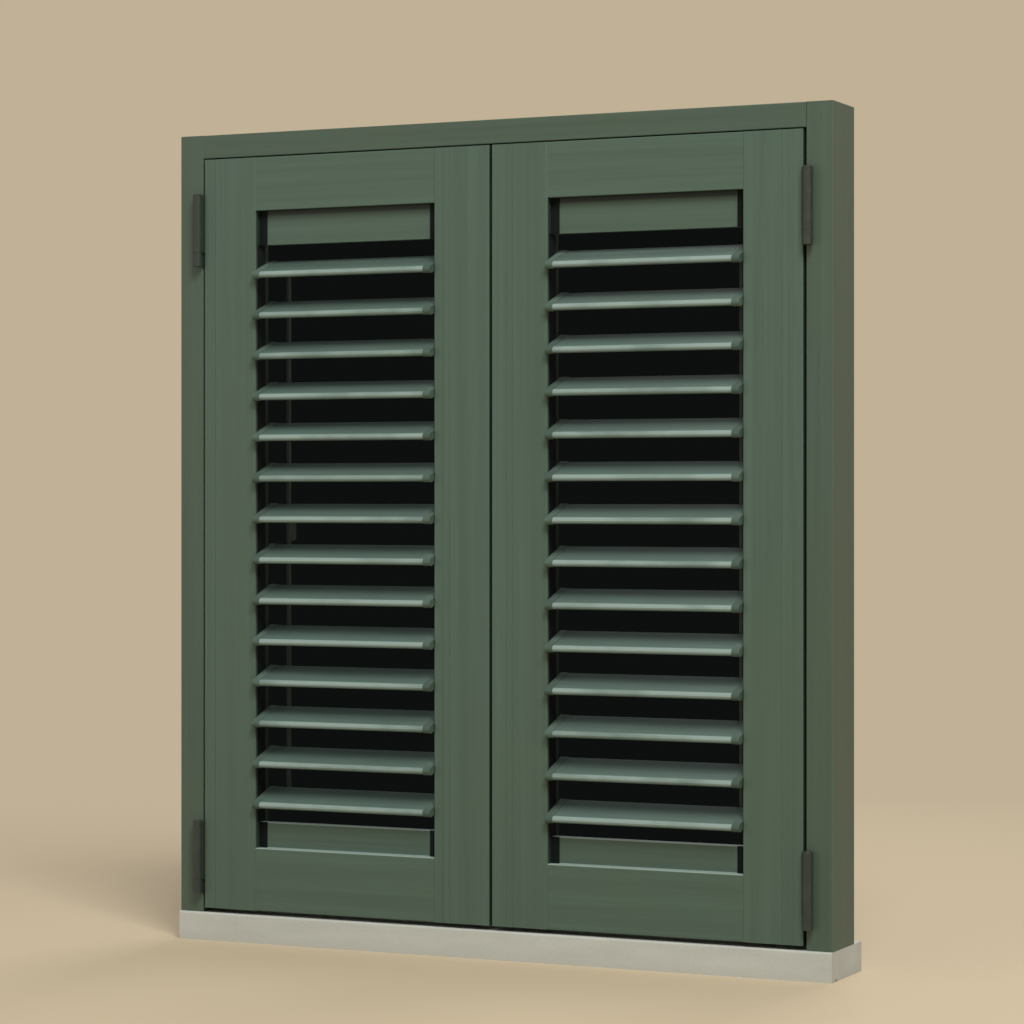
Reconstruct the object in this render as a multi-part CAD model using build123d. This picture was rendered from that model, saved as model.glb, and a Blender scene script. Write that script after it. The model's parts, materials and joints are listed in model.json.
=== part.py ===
from build123d import *
import math
import os

# A pair of louvred shutter leaves in their frame, on a sill.
# Axes: X to the right, Y from the front to the back, Z up. The origin is the middle of the sill's underside.

# Frame and sill
FRAME_WIDTH = 1065.0
FRAME_HEIGHT = 1200.0
FRAME_DEPTH = 92.0
JAMB_FACE = 40.0
HEAD_FACE = 36.0
STOP_LAP = 16.0
HEAD_STOP_LAP = 14.0
SILL_HEIGHT = 43.0
SILL_DEPTH = 130.0
SILL_NOSE = 5.0
SILL_STEP = 15.0
SILL_EDGE = 3.0
DRIP_RADIUS = 4.0
DRIP_SETBACK = 18.0
ARRIS = 1.5
EDGE_BAND = 1.0

# Leaves
LEAF_THICKNESS = 40.0
LEAF_PROUD = 3.0
STILE_WIDTH = 90.0
TOP_RAIL = 82.0
BOTTOM_RAIL = 96.0
TOP_BOARD = 52.0
BOTTOM_BOARD = 39.0
BOARD_THICKNESS = 14.0
BOARD_SETBACK = 14.0
BOARD_TONGUE = 8.0
RAIL_SETBACK = 1.0
TENON_LENGTH = 45.0
TENON_THICKNESS = 13.0
TENON_SHOULDER = 14.0
LINE_WIDTH = 1.4
LINE_DEPTH = 0.6

# Gaps round the leaves
HINGE_GAP = 4.0
HEAD_GAP = 2.0
SILL_GAP = 7.0
MEETING_GAP = 5.0
STOP_GAP = 3.0

# Slats
SLAT_PITCH = 62.4
SLAT_CHORD = 66.0
SLAT_THICKNESS = 10.0
SLAT_REST_TILT = 20.0
SLAT_DEPTH_IN_LEAF = 19.0
SLAT_END_GAP = 1.5
SLAT_END_ROOM = 3.0
SLAT_PIN = 6.0
PIN_CLEARANCE = 0.08
PIN_END_GAP = 1.0
NOSE_FLATS = 5
PIN_FLATS = 8

# Carriers of the slats
CARRIER_WIDTH = 24.0
CARRIER_THICKNESS = 4.0
CARRIER_SLOT = 10.0
CARRIER_SLOT_DEPTH = 3.0

# Tilt rod and its links
ROD_INSET = 27.0
ROD_THICKNESS = 4.0
ROD_WIDTH = 8.0
ROD_END = 6.0
LINK_REACH = 41.0
LINK_DROP = 9.0
LINK_PIN = 4.0
LINK_EYE = 8.0
LUG_THICKNESS = 3.0
LUG_GAP = 0.4
LUG_ROOT = 14.0
LUG_TAIL = 5.0
LUG_BITE = 1.0
LUG_COVER = 2.0
LINK_PIN_BITE = 1.0
LINK_PIN_PROUD = 2.0
KNOB_LENGTH = 34.0
KNOB_REACH = 16.0
KNOB_CORNER = 5.0

# Hinges
BARREL_RADIUS = 7.5
BARREL_SETOUT = 9.0
BARREL_PROUD = 8.5
LEAF_BARREL = 90.0
BASE_BARREL = 21.0
BARREL_GAP = 0.3
HINGE_PIN = 8.0
HINGE_PIN_LENGTH = 65.0
HINGE_PIN_GAP = 2.0
PLATE_THICKNESS = 2.0
PLATE_DEPTH = 30.0
TOP_HINGE_DROP = 147.0
BOTTOM_HINGE_RISE = 86.0

# Slide bolts, turn catch and keepers
BOLT_DIAMETER = 10.0
BOLT_LENGTH = 130.0
BOLT_TRAVEL = 20.0
BOLT_REST_GAP = 4.0
BOLT_HOLE_CLEARANCE = 0.4
BOLT_INSET = 22.0
BOLT_CHAMFER = 1.0
BOLT_KNOB = 8.0
BOLT_KNOB_REACH = 18.0
BOLT_KNOB_SHARE = 0.45
GUIDE_WIDTH = 28.0
GUIDE_LENGTH = 110.0
GUIDE_PLATE = 2.0
GUIDE_LOOP = 14.0
GUIDE_LOOP_INSET = 4.0
GUIDE_END_GAP = 6.0
KEEPER_THICKNESS = 2.0
KEEPER_SETBACK = 1.0
CATCH_HEIGHT = 560.0
CATCH_LENGTH = 62.0
CATCH_WIDTH = 16.0
CATCH_THICKNESS = 5.0
CATCH_STANDOFF = 4.0
CATCH_INSET = 24.0
CATCH_PIN = 8.0
CATCH_PIN_BITE = 1.0
CATCH_GRIP = 22.0
CATCH_ROUND = 5.0
CATCH_GAP = 1.0
CATCH_KEEPER_INSET = 6.0
CATCH_KEEPER_WIDTH = 12.0
CATCH_KEEPER_FOOT = 14.0
CATCH_KEEPER_ROOM = 2.0
CATCH_KEEPER_LIP = 16.0

# Fixing holes behind the leaves
FIXING_HOLE = 6.5
FIXING_SINK = 12.0
FIXING_END = 150.0

# Places that follow from the sizes
SILL_FRONT = -SILL_DEPTH / 2
FRAME_FRONT = SILL_FRONT + SILL_NOSE
FRAME_BACK = FRAME_FRONT + FRAME_DEPTH
FRAME_TOP = SILL_HEIGHT + FRAME_HEIGHT
LEAF_FRONT = FRAME_FRONT - LEAF_PROUD
LEAF_BACK = LEAF_FRONT + LEAF_THICKNESS
STOP_FRONT = LEAF_BACK + STOP_GAP
LEAF_BOTTOM = SILL_HEIGHT + SILL_GAP
LEAF_TOP = FRAME_TOP - HEAD_FACE - HEAD_GAP
HALF_FRAME = FRAME_WIDTH / 2
HINGE_EDGE = HALF_FRAME - JAMB_FACE - HINGE_GAP
MEETING_EDGE = MEETING_GAP / 2
OPENING_INNER = MEETING_EDGE + STILE_WIDTH
OPENING_OUTER = HINGE_EDGE - STILE_WIDTH
OPENING_TOP = LEAF_TOP - TOP_RAIL
OPENING_BOTTOM = LEAF_BOTTOM + BOTTOM_RAIL
STOP_EDGE = HINGE_EDGE - STOP_LAP
HEAD_STOP = LEAF_TOP - HEAD_STOP_LAP
SILL_STOP = SILL_HEIGHT + SILL_STEP
BOARD_FRONT = LEAF_FRONT + BOARD_SETBACK
PIVOT_Y = LEAF_FRONT + SLAT_DEPTH_IN_LEAF
CARRIER_BOTTOM = OPENING_BOTTOM + BOTTOM_BOARD
CARRIER_TOP = OPENING_TOP - TOP_BOARD
PIVOT_ROOM = CARRIER_TOP - CARRIER_BOTTOM - SLAT_CHORD - 2 * SLAT_END_ROOM
SLAT_COUNT = math.floor(PIVOT_ROOM / SLAT_PITCH) + 1
TOP_PIVOT = (CARRIER_TOP + CARRIER_BOTTOM + SLAT_PITCH * (SLAT_COUNT - 1)) / 2
PIVOTS = [TOP_PIVOT - SLAT_PITCH * i for i in range(SLAT_COUNT)]
PIN_LENGTH = SLAT_END_GAP + CARRIER_THICKNESS + CARRIER_SLOT_DEPTH - PIN_END_GAP
BARREL_X = HINGE_EDGE + BARREL_SETOUT
BARREL_Y = FRAME_FRONT - BARREL_PROUD
HINGE_HEIGHTS = [FRAME_TOP - TOP_HINGE_DROP, SILL_HEIGHT + BOTTOM_HINGE_RISE]
HINGE_LENGTH = LEAF_BARREL + BARREL_GAP + BASE_BARREL
BOLT_X = MEETING_EDGE + BOLT_INSET
BOLT_Y = LEAF_BACK + GUIDE_PLATE + GUIDE_LOOP / 2
SIDES = {"left": -1, "right": 1}

# Lines worked into the faces of the stiles, as distances from the leaf's meeting edge
LEAF_WIDTH = HINGE_EDGE - MEETING_EDGE
FACE_LINES = {
    ("left", "hinge_stile"): [LEAF_WIDTH - 20.0],
    ("left", "meeting_stile"): [STILE_WIDTH - 15.0, STILE_WIDTH - 26.0],
    ("right", "hinge_stile"): [LEAF_WIDTH - 14.0, LEAF_WIDTH - 31.0],
    ("right", "meeting_stile"): [24.0, 34.0],
}


def block(x0, x1, y0, y1, z0, z1):
    """A box between two corners, in any order of X."""
    low, high = min(x0, x1), max(x0, x1)
    box = Box(high - low, y1 - y0, z1 - z0, align=(Align.MIN, Align.MIN, Align.MIN))
    return Pos(low, y0, z0) * box


def rod_along(axis, radius, start, length):
    """A round bar from a start point, along +X, +Y or +Z."""
    bar = Cylinder(radius, length, align=(Align.CENTER, Align.CENTER, Align.MIN))
    turns = {"x": Rot(0, 90, 0), "y": Rot(-90, 0, 0), "z": Rot(0, 0, 0)}
    return Pos(*start) * turns[axis] * bar


def pin_along_x(radius, start, length):
    """A pivot pin with flats inside its radius, from a start point along +X."""
    plane = Plane(origin=start, x_dir=(0, 1, 0), z_dir=(1, 0, 0))
    return extrude(plane * RegularPolygon(radius, PIN_FLATS), length)


def pin_hole_along_x(radius, start, length):
    """The hole for such a pin, with flats outside its radius."""
    plane = Plane(origin=start, x_dir=(0, 1, 0), z_dir=(1, 0, 0))
    return extrude(plane * RegularPolygon(radius, PIN_FLATS, major_radius=False), length)


def eased(solid, axis, front):
    """Rounds the edges of a member that run along an axis and lie in its front face."""
    edges = solid.edges().filter_by(axis).filter_by(lambda e: e.center().Y < front + EDGE_BAND)
    return fillet(edges, ARRIS)


def write(name, solids):
    """Writes one node. Several solids stay separate in it."""
    parts = solids if isinstance(solids, list) else [solids]
    shape = Compound(children=[Part() + p for p in parts]) if len(parts) > 1 else parts[0]
    shape.label = name
    export_step(shape, f"parts/{name}.step")


# Frame

def fixing_positions(side):
    """Centres of the fixing holes in one jamb's stop."""
    x = side * (STOP_EDGE + STOP_LAP / 2)
    return [(x, SILL_HEIGHT + FIXING_END), (x, FRAME_TOP - FIXING_END)]


def jamb(side):
    """An upright of the frame: its face beside the leaf and the stop behind it."""
    inner = HINGE_EDGE + HINGE_GAP
    face = block(side * inner, side * HALF_FRAME, FRAME_FRONT, FRAME_BACK, SILL_HEIGHT, FRAME_TOP)
    face = eased(face, Axis.Z, FRAME_FRONT)
    stop = block(side * STOP_EDGE, side * inner, STOP_FRONT, FRAME_BACK, SILL_HEIGHT, FRAME_TOP)
    body = face + stop
    for x, z in fixing_positions(side):
        body -= rod_along("y", FIXING_HOLE / 2, (x, STOP_FRONT, z), FRAME_BACK - STOP_FRONT)
        sink = Cone(FIXING_SINK / 2, FIXING_HOLE / 2, (FIXING_SINK - FIXING_HOLE) / 2,
                    align=(Align.CENTER, Align.CENTER, Align.MIN))
        body -= Pos(x, STOP_FRONT, z) * Rot(-90, 0, 0) * sink
    return body


def head():
    """The top member, between the jambs, with its stop and the hole for the upper bolt."""
    inner = HINGE_EDGE + HINGE_GAP
    face = block(-inner, inner, FRAME_FRONT, STOP_FRONT, LEAF_TOP + HEAD_GAP, FRAME_TOP)
    face = eased(face, Axis.X, FRAME_FRONT)
    stop = block(-STOP_EDGE, STOP_EDGE, STOP_FRONT, FRAME_BACK, HEAD_STOP, FRAME_TOP)
    hole = rod_along("z", BOLT_DIAMETER / 2 + BOLT_HOLE_CLEARANCE, (-BOLT_X, BOLT_Y, HEAD_STOP),
                     BOLT_TRAVEL + BOLT_HOLE_CLEARANCE)
    return face + stop - hole


def sill():
    """The sill: a stone bar with an eased front edge, a drip groove below and a step behind the leaves."""
    bar = block(-HALF_FRAME, HALF_FRAME, SILL_FRONT, -SILL_FRONT, 0, SILL_HEIGHT)
    edge = bar.edges().filter_by(Axis.X).filter_by(lambda e: e.center().Y < SILL_FRONT + EDGE_BAND)
    bar = fillet(edge.sort_by(Axis.Z)[-1:], SILL_EDGE)
    drip = rod_along("x", DRIP_RADIUS, (-HALF_FRAME, SILL_FRONT + DRIP_SETBACK, 0), FRAME_WIDTH)
    step = block(-STOP_EDGE, STOP_EDGE, STOP_FRONT, -SILL_FRONT, SILL_HEIGHT, SILL_STOP)
    hole = rod_along("z", BOLT_DIAMETER / 2 + BOLT_HOLE_CLEARANCE,
                     (-BOLT_X, BOLT_Y, SILL_STOP - BOLT_TRAVEL - BOLT_HOLE_CLEARANCE),
                     BOLT_TRAVEL + BOLT_HOLE_CLEARANCE)
    return bar - drip + step - hole


def keeper(z0):
    """The plate round a bolt's hole in the head or the sill."""
    front = STOP_FRONT + KEEPER_SETBACK
    plate = block(-BOLT_X - GUIDE_WIDTH / 2, -BOLT_X + GUIDE_WIDTH / 2, front, front + GUIDE_WIDTH,
                  z0, z0 + KEEPER_THICKNESS)
    hole = rod_along("z", BOLT_DIAMETER / 2 + BOLT_HOLE_CLEARANCE, (-BOLT_X, BOLT_Y, z0), KEEPER_THICKNESS)
    return plate - hole


# Leaves

def tenon_zone(z0, z1):
    """The height that a rail's tenon takes, between its shoulders."""
    return z0 + TENON_SHOULDER, z1 - TENON_SHOULDER


def tenon(side, x_edge, direction, z0, z1):
    """A stub tenon from an edge of the opening, towards the stile."""
    low, high = tenon_zone(z0, z1)
    middle = (LEAF_FRONT + LEAF_BACK) / 2
    return block(side * x_edge, side * (x_edge + direction * TENON_LENGTH), middle - TENON_THICKNESS / 2,
                 middle + TENON_THICKNESS / 2, low, high)


def stile(name, side, which):
    """A stile with its mortises, the groove for boards and the slot for the carrier, and its face lines."""
    edge, far = (OPENING_OUTER, HINGE_EDGE) if which == "hinge_stile" else (OPENING_INNER, MEETING_EDGE)
    direction = 1 if far > edge else -1
    body = block(side * edge, side * far, LEAF_FRONT, LEAF_BACK, LEAF_BOTTOM, LEAF_TOP)
    body = eased(body, Axis.Z, LEAF_FRONT)
    body -= tenon(side, edge, direction, LEAF_BOTTOM, OPENING_BOTTOM)
    body -= tenon(side, edge, direction, OPENING_TOP, LEAF_TOP)
    strip_y = PIVOT_Y - CARRIER_WIDTH / 2
    body -= block(side * edge, side * (edge + direction * CARRIER_THICKNESS), strip_y,
                  strip_y + CARRIER_WIDTH, CARRIER_BOTTOM, CARRIER_TOP)
    body -= block(side * edge, side * (edge + direction * (CARRIER_THICKNESS + CARRIER_SLOT_DEPTH)),
                  PIVOT_Y - CARRIER_SLOT / 2, PIVOT_Y + CARRIER_SLOT / 2, CARRIER_BOTTOM, CARRIER_TOP)
    for z0, z1 in (board_zone("top"), board_zone("bottom")):
        body -= block(side * edge, side * (edge + direction * BOARD_TONGUE), BOARD_FRONT,
                      BOARD_FRONT + BOARD_THICKNESS, z0, z1)
    for distance in FACE_LINES[(name, which)]:
        x = side * (MEETING_EDGE + distance)
        body -= block(x - LINE_WIDTH / 2, x + LINE_WIDTH / 2, LEAF_FRONT, LEAF_FRONT + LINE_DEPTH,
                      LEAF_BOTTOM, LEAF_TOP)
    return body


def board_zone(which):
    """Lowest and highest points of a recessed board."""
    return (CARRIER_TOP, OPENING_TOP) if which == "top" else (OPENING_BOTTOM, CARRIER_BOTTOM)


def rail(side, z0, z1):
    """A rail between the stiles, with a stub tenon at each end."""
    body = block(side * OPENING_INNER, side * OPENING_OUTER, LEAF_FRONT + RAIL_SETBACK, LEAF_BACK, z0, z1)
    body = eased(body, Axis.X, LEAF_FRONT + RAIL_SETBACK)
    return body + tenon(side, OPENING_INNER, -1, z0, z1) + tenon(side, OPENING_OUTER, 1, z0, z1)


def board(side, which):
    """A recessed board above or below the slats, let into the stiles."""
    z0, z1 = board_zone(which)
    return block(side * (OPENING_INNER - BOARD_TONGUE), side * (OPENING_OUTER + BOARD_TONGUE), BOARD_FRONT,
                 BOARD_FRONT + BOARD_THICKNESS, z0, z1)


def carriers(side):
    """The two strips in which the slats turn, with a hole for each pivot."""
    strips = []
    for edge, direction in ((OPENING_INNER, -1), (OPENING_OUTER, 1)):
        outer = edge + direction * CARRIER_THICKNESS
        strip = block(side * edge, side * outer, PIVOT_Y - CARRIER_WIDTH / 2, PIVOT_Y + CARRIER_WIDTH / 2,
                      CARRIER_BOTTOM, CARRIER_TOP)
        start = min(side * edge, side * outer)
        for z in PIVOTS:
            strip -= pin_hole_along_x(SLAT_PIN / 2 + PIN_CLEARANCE, (start, PIVOT_Y, z), CARRIER_THICKNESS)
        strips.append(strip)
    return strips


# Slats and tilt rod

def link_point(z):
    """Centre of a slat's link pin at rest, behind and above its pivot."""
    tilt = math.radians(SLAT_REST_TILT)
    y = PIVOT_Y + LINK_REACH * math.cos(tilt) + LINK_DROP * math.sin(tilt)
    return y, z + LINK_REACH * math.sin(tilt) - LINK_DROP * math.cos(tilt)


def section():
    """A slat's section about its pivot: flat faces, and edges rounded in short flats."""
    radius = SLAT_THICKNESS / 2
    reach = SLAT_CHORD / 2 - radius
    points = []
    for end in (1, -1):
        for step in range(NOSE_FLATS + 1):
            angle = math.pi * (step / NOSE_FLATS - 0.5)
            points.append((end * (reach + radius * math.cos(angle)), end * radius * math.sin(angle)))
    return make_face(Polyline(*points, close=True))


def extruded(profile, x0, x1, z):
    """A section in the slat's own plane, turned to its rest tilt and run from x0 to x1."""
    plane = Plane(origin=(min(x0, x1), PIVOT_Y, z), x_dir=(0, 1, 0), z_dir=(1, 0, 0))
    return extrude(plane * Rot(0, 0, SLAT_REST_TILT) * profile, abs(x1 - x0))


def slat(side, z):
    """One slat with its pivot pins, and the lug and pin of its link."""
    inner = OPENING_INNER + SLAT_END_GAP
    outer = OPENING_OUTER - SLAT_END_GAP
    body = extruded(section(), side * inner, side * outer, z)
    for end, direction in ((inner, -1), (outer, 1)):
        start = min(side * end, side * (end + direction * PIN_LENGTH))
        body += pin_along_x(SLAT_PIN / 2, (start, PIVOT_Y, z), PIN_LENGTH)
    rod_face = OPENING_OUTER - ROD_INSET
    lug_face = rod_face - LUG_GAP
    root = (SLAT_CHORD / 2 - LUG_ROOT, LUG_BITE - SLAT_THICKNESS / 2)
    tail = (SLAT_CHORD / 2 - LUG_TAIL, SLAT_THICKNESS / 2 - LUG_COVER)
    eye = Pos(LINK_REACH, -LINK_DROP) * RegularPolygon(LINK_EYE / 2, PIN_FLATS)
    lug = make_hull([*eye.edges(), Edge.make_line(root, tail)])
    body += extruded(lug, side * (lug_face - LUG_THICKNESS), side * lug_face, z)
    pin_y, pin_z = link_point(z)
    pin_root = lug_face - LINK_PIN_BITE
    pin_length = LINK_PIN_BITE + LUG_GAP + ROD_THICKNESS + LINK_PIN_PROUD
    pin_start = min(side * pin_root, side * (pin_root + pin_length))
    body += pin_along_x(LINK_PIN / 2, (pin_start, pin_y, pin_z), pin_length)
    return body


def tilt_rod(side):
    """The bar that joins the slats' links, with a finger knob half way."""
    face = OPENING_OUTER - ROD_INSET
    top_y, top_z = link_point(PIVOTS[0])
    low_z = link_point(PIVOTS[-1])[1]
    bar = block(side * face, side * (face + ROD_THICKNESS), top_y - ROD_WIDTH / 2, top_y + ROD_WIDTH / 2,
                low_z - ROD_END, top_z + ROD_END)
    start = min(side * face, side * (face + ROD_THICKNESS))
    for z in PIVOTS:
        pin_y, pin_z = link_point(z)
        bar -= pin_hole_along_x(LINK_PIN / 2 + PIN_CLEARANCE, (start, pin_y, pin_z), ROD_THICKNESS)
    middle = (top_z + low_z) / 2
    back = top_y + ROD_WIDTH / 2
    knob = block(side * face, side * (face + ROD_THICKNESS), back, back + KNOB_REACH,
                 middle - KNOB_LENGTH / 2, middle + KNOB_LENGTH / 2)
    tip = knob.edges().filter_by(Axis.X).filter_by(lambda e: e.center().Y > back + EDGE_BAND)
    return bar + chamfer(tip, KNOB_CORNER)


# Hinges

def hinge_plate(side, x0, x1, z0, z1):
    """The flat leg of a hinge, in the gap between leaf and jamb."""
    return block(side * x0, side * x1, BARREL_Y, BARREL_Y + PLATE_DEPTH, z0, z1)


def strap(side, z_middle):
    """The leaf's half of a hinge: a capped barrel with a blind bore, and its plate on the leaf's edge."""
    low = z_middle - HINGE_LENGTH / 2 + BASE_BARREL + BARREL_GAP
    top = z_middle + HINGE_LENGTH / 2
    centre = (side * BARREL_X, BARREL_Y, low)
    barrel = rod_along("z", BARREL_RADIUS, centre, LEAF_BARREL)
    rim = barrel.edges().filter_by(GeomType.CIRCLE).sort_by(Axis.Z)[-1:]
    barrel = chamfer(rim, ARRIS)
    plate = hinge_plate(side, HINGE_EDGE, HINGE_EDGE + PLATE_THICKNESS, low, top - ARRIS)
    web = block(side * HINGE_EDGE, side * BARREL_X, BARREL_Y, BARREL_Y + PLATE_THICKNESS, low, top - ARRIS)
    bore = rod_along("z", HINGE_PIN / 2 + PIN_CLEARANCE, centre, HINGE_PIN_LENGTH + HINGE_PIN_GAP)
    return barrel + plate + web - bore


def pintle(side, z_middle):
    """The frame's half of a hinge: a short base, its pin, and its plate on the jamb."""
    low = z_middle - HINGE_LENGTH / 2
    centre = (side * BARREL_X, BARREL_Y, low)
    base = rod_along("z", BARREL_RADIUS, centre, BASE_BARREL)
    jamb_side = HINGE_EDGE + HINGE_GAP
    plate = hinge_plate(side, jamb_side - PLATE_THICKNESS, jamb_side, low, low + BASE_BARREL)
    pin = rod_along("z", HINGE_PIN / 2, centre, BASE_BARREL + BARREL_GAP + HINGE_PIN_LENGTH)
    return base + plate + pin


# Bolts and catch

def bolt(where):
    """A round slide bolt on the left leaf's back, withdrawn, with a finger knob."""
    if where == "top":
        low = HEAD_STOP - BOLT_REST_GAP - BOLT_LENGTH
        knob_z = low + BOLT_LENGTH * BOLT_KNOB_SHARE
    else:
        low = SILL_STOP + BOLT_REST_GAP
        knob_z = low + BOLT_LENGTH * (1 - BOLT_KNOB_SHARE)
    bar = rod_along("z", BOLT_DIAMETER / 2, (-BOLT_X, BOLT_Y, low), BOLT_LENGTH)
    ends = bar.edges().filter_by(GeomType.CIRCLE)
    bar = chamfer(ends, BOLT_CHAMFER)
    knob = rod_along("y", BOLT_KNOB / 2, (-BOLT_X, BOLT_Y, knob_z), BOLT_KNOB_REACH)
    return bar + knob


def guide(where):
    """The plate and its two loops that carry a bolt."""
    clearance = BOLT_REST_GAP + GUIDE_END_GAP
    if where == "top":
        high = HEAD_STOP - clearance
        low = high - GUIDE_LENGTH
    else:
        low = SILL_STOP + clearance
        high = low + GUIDE_LENGTH
    plate = block(-BOLT_X - GUIDE_WIDTH / 2, -BOLT_X + GUIDE_WIDTH / 2, LEAF_BACK, LEAF_BACK + GUIDE_PLATE,
                  low, high)
    for z in (low + GUIDE_LOOP_INSET, high - GUIDE_LOOP_INSET - GUIDE_LOOP):
        loop = block(-BOLT_X - GUIDE_LOOP / 2, -BOLT_X + GUIDE_LOOP / 2, LEAF_BACK + GUIDE_PLATE,
                     LEAF_BACK + GUIDE_PLATE + GUIDE_LOOP, z, z + GUIDE_LOOP)
        plate += loop
    return plate - rod_along("z", BOLT_DIAMETER / 2 + PIN_CLEARANCE, (-BOLT_X, BOLT_Y, low), GUIDE_LENGTH)


def catch():
    """The turn catch on the right leaf's back, upright when it is free."""
    x = MEETING_EDGE + CATCH_INSET
    y0 = LEAF_BACK + CATCH_STANDOFF
    arm = block(x - CATCH_WIDTH / 2, x + CATCH_WIDTH / 2, y0, y0 + CATCH_THICKNESS,
                CATCH_HEIGHT - CATCH_WIDTH / 2, CATCH_HEIGHT + CATCH_LENGTH)
    arm = fillet(arm.edges().filter_by(Axis.Y), CATCH_ROUND)
    post = rod_along("y", CATCH_PIN / 2, (x, LEAF_BACK, CATCH_HEIGHT), CATCH_STANDOFF + CATCH_PIN_BITE)
    grip_z = CATCH_HEIGHT + CATCH_LENGTH - CATCH_WIDTH / 2
    grip = rod_along("y", CATCH_PIN / 2, (x, y0, grip_z), CATCH_GRIP)
    return arm + post + grip


def catch_keeper():
    """The bracket on the left leaf under which the catch's arm turns."""
    x0 = MEETING_EDGE + CATCH_KEEPER_INSET
    x1 = x0 + CATCH_KEEPER_WIDTH
    lip_y = LEAF_BACK + CATCH_STANDOFF + CATCH_THICKNESS + CATCH_GAP
    lip_back = lip_y + KEEPER_THICKNESS
    shelf = CATCH_HEIGHT - CATCH_WIDTH / 2 - CATCH_KEEPER_ROOM
    foot = block(-x1, -x0, LEAF_BACK, LEAF_BACK + KEEPER_THICKNESS, shelf - CATCH_KEEPER_FOOT, shelf)
    riser = block(-x1, -x0, LEAF_BACK, lip_back, shelf - KEEPER_THICKNESS, shelf)
    lip = block(-x1, -x0, lip_y, lip_back, shelf, shelf + CATCH_KEEPER_LIP)
    return foot + riser + lip


def main():
    os.makedirs("parts", exist_ok=True)
    write("head", head())
    write("sill", sill())
    write("bolt_keepers", [keeper(HEAD_STOP - KEEPER_THICKNESS), keeper(SILL_STOP)])
    for name, side in SIDES.items():
        write(f"jamb_{name}", jamb(side))
        write(f"hinge_pintles_{name}", [pintle(side, z) for z in HINGE_HEIGHTS])
        write(f"hinge_straps_{name}", [strap(side, z) for z in HINGE_HEIGHTS])
        for which in ("hinge_stile", "meeting_stile"):
            write(f"{which}_{name}", stile(name, side, which))
        write(f"top_rail_{name}", rail(side, OPENING_TOP, LEAF_TOP))
        write(f"bottom_rail_{name}", rail(side, LEAF_BOTTOM, OPENING_BOTTOM))
        write(f"top_board_{name}", board(side, "top"))
        write(f"bottom_board_{name}", board(side, "bottom"))
        write(f"slat_carriers_{name}", carriers(side))
        write(f"tilt_rod_{name}", tilt_rod(side))
        for number, z in enumerate(PIVOTS, start=1):
            write(f"slat_{name}_{number:02d}", slat(side, z))
    write("bolt_guides", [guide("top"), guide("bottom")])
    write("top_bolt", bolt("top"))
    write("bottom_bolt", bolt("bottom"))
    write("turn_catch", catch())
    write("catch_keeper", catch_keeper())


main()
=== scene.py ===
"""Dresses a pair of louvred shutter leaves in their frame.

The finishes come first, then the small parts that Geometry Nodes make, the sub-assemblies, and the stage with
its lamps and camera. Sizes are in metres. X runs to the right, Y into the wall and Z up.
"""

from __future__ import annotations

import json
import logging
import math
from dataclasses import dataclass, field
from enum import Enum
from typing import Protocol

import bmesh
import bpy
from mathutils import Matrix, Vector

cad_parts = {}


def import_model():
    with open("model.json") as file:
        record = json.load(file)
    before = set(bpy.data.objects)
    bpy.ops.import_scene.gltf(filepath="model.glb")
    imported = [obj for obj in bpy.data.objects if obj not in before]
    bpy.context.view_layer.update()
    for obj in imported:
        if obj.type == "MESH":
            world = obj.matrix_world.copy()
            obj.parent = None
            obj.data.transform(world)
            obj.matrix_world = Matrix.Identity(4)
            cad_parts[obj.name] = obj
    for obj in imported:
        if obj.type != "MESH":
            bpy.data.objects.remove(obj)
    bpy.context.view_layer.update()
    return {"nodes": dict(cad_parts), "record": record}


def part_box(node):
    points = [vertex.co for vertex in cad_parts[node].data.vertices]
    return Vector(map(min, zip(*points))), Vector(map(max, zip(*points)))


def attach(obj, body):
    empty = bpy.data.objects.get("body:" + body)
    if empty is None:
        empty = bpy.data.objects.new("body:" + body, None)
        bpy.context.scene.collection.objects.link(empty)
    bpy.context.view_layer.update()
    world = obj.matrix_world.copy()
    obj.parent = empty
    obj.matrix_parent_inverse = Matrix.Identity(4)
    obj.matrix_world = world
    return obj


log = logging.getLogger("shutters")

Colour = tuple[float, float, float]
Point = tuple[float, float, float]
Ramp = tuple[float, float]

PHOTO_SIDE_PX = 1024
SLAT_TILT = math.radians(20.0)
SLAT_CHORD = 0.066
SLAT_THICKNESS = 0.010

FRAME_GREEN = (0.066, 0.103, 0.078)
LEAF_GREEN = (0.072, 0.119, 0.093)
SLAT_GREEN = (0.078, 0.124, 0.105)
# A pale green for rubbed paint, which also stands as painted highlight on ledges and slat noses.
RUBBED_HIGHLIGHT_GREEN = (0.51, 0.64, 0.61)


class Grain(Enum):
    """The way that the fibres of a timber member and its brush marks run."""

    UPRIGHT = "upright"
    LEVEL = "level"


class Side(Enum):
    """A leaf of the pair, by its sign along X."""

    LEFT = -1
    RIGHT = 1

    @property
    def word(self) -> str:
        """The side's name as the nodes write it."""
        return self.name.lower()


def shade(colour: Colour, gain: float) -> Colour:
    """A colour made darker or lighter, held at white."""
    return tuple(min(1.0, channel * gain) for channel in colour)


def coat(obj: bpy.types.Object, material: bpy.types.Material) -> None:
    """Puts one material on an object.

    Args:
        obj: The object.
        material: Its finish.
    """
    obj.data.materials.clear()
    obj.data.materials.append(material)
    log.info("%s: %s", obj.name, material.name)


@dataclass(frozen=True)
class Band:
    """A stretch of a length over which a mark shows, fading at both ends."""

    start: float
    full: float
    fade: float
    end: float


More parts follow.
